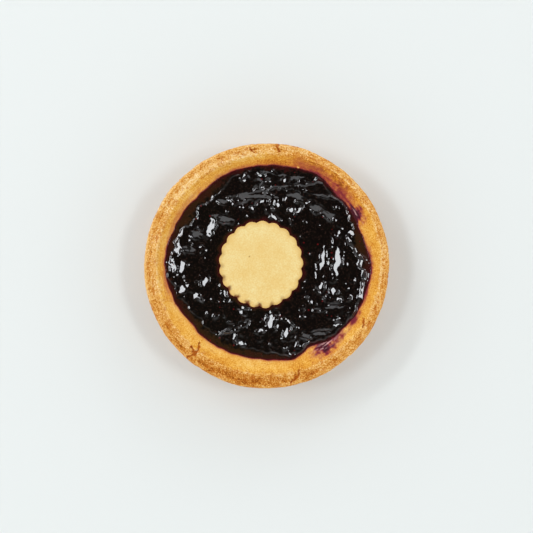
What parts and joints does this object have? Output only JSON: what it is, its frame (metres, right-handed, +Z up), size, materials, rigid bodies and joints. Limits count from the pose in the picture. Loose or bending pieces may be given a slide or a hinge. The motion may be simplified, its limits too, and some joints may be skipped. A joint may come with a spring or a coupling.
{
  "type": "berry tart",
  "caption": "Round shortcrust tart with a deep sandy rim, a glossy dark berry jam filling and a scalloped biscuit laid on top.",
  "frame": {"origin": "middle of the flat base of the crust", "axes": "+Z up through the tart; -Y is the side nearest the bottom edge of the picture, +X is the picture's right"},
  "size_m": [0.11, 0.1098, 0.0252],
  "materials": {
    "crust": "baked shortcrust, dry and sandy",
    "jam": "wet gloss",
    "biscuit": "baked biscuit, fine and dry"
  },
  "bodies": {
    "root": {"crust": "crust", "filling": "jam", "biscuit": "biscuit"}
  },
  "joints": []
}
